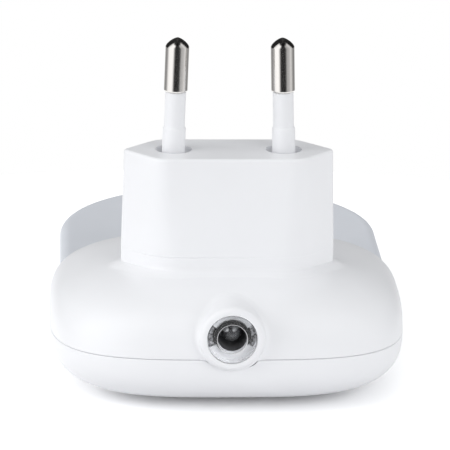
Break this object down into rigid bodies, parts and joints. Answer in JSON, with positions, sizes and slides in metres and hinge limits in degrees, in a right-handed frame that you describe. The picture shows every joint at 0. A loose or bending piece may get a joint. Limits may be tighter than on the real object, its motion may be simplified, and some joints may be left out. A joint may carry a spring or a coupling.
{
  "type": "plug in night light",
  "caption": "Plug in night light with a flat two pin mains plug, a light sensor in a short tube and a rounded translucent diffuser.",
  "frame": {"origin": "on the flat of the front cover, on which the lamp lies, under the middle of the plug", "axes": "+Z out of the plug's face along the contact pins, +Y from the sensor end to the end of the diffuser, +X to the right seen from the sensor end"},
  "size_m": [0.0604, 0.0877, 0.0603],
  "materials": {
    "white_plastic": "satin",
    "diffuser_plastic": "translucent, satin",
    "nickel": "nickel plated, polished",
    "sleeve_plastic": "matt",
    "inner_plastic": "matt",
    "screw_steel": "zinc plated",
    "tag_brass": "plain",
    "brown_insulation": "matt",
    "blue_insulation": "matt",
    "red_insulation": "matt",
    "board_green": "varnished",
    "board_white": "varnished",
    "capacitor_ochre": "gloss",
    "capacitor_sleeve": "satin",
    "black_resin": "matt",
    "resistor_green": "lacquered",
    "resistor_tan": "lacquered",
    "diode_glass": "clear",
    "varistor_blue": "lacquered",
    "black_plastic": "matt",
    "clear_plastic": "clear",
    "sensor_resin": "clear",
    "chip_yellow": "gloss",
    "reflector_white": "matt"
  },
  "bodies": {
    "root": {"rear_housing": "white_plastic", "front_cover": "white_plastic", "diffuser": "diffuser_plastic", "plug_block": "white_plastic", "retainer_plate": "inner_plastic", "retainer_screws": "screw_steel", "pin_left": "nickel", "pin_right": "nickel", "sleeve_left": "sleeve_plastic", "sleeve_right": "sleeve_plastic", "pin_tags": "tag_brass", "live_wire": "brown_insulation", "neutral_wire": "blue_insulation", "driver_board": "board_green", "board_screws": "screw_steel", "film_capacitor": "capacitor_ochre", "smoothing_capacitor": "capacitor_sleeve", "bridge_rectifier": "black_resin", "fusible_resistor": "resistor_green", "bleed_resistor": "resistor_tan", "zener_diode": "diode_glass", "varistor": "varistor_blue", "transistor": "black_resin", "sensor_window": "clear_plastic", "sensor_shroud": "black_plastic", "light_sensor": "sensor_resin", "led_board": "board_white", "led_chips": "chip_yellow", "reflector": "reflector_white", "led_wires": "red_insulation"}
  },
  "joints": []
}
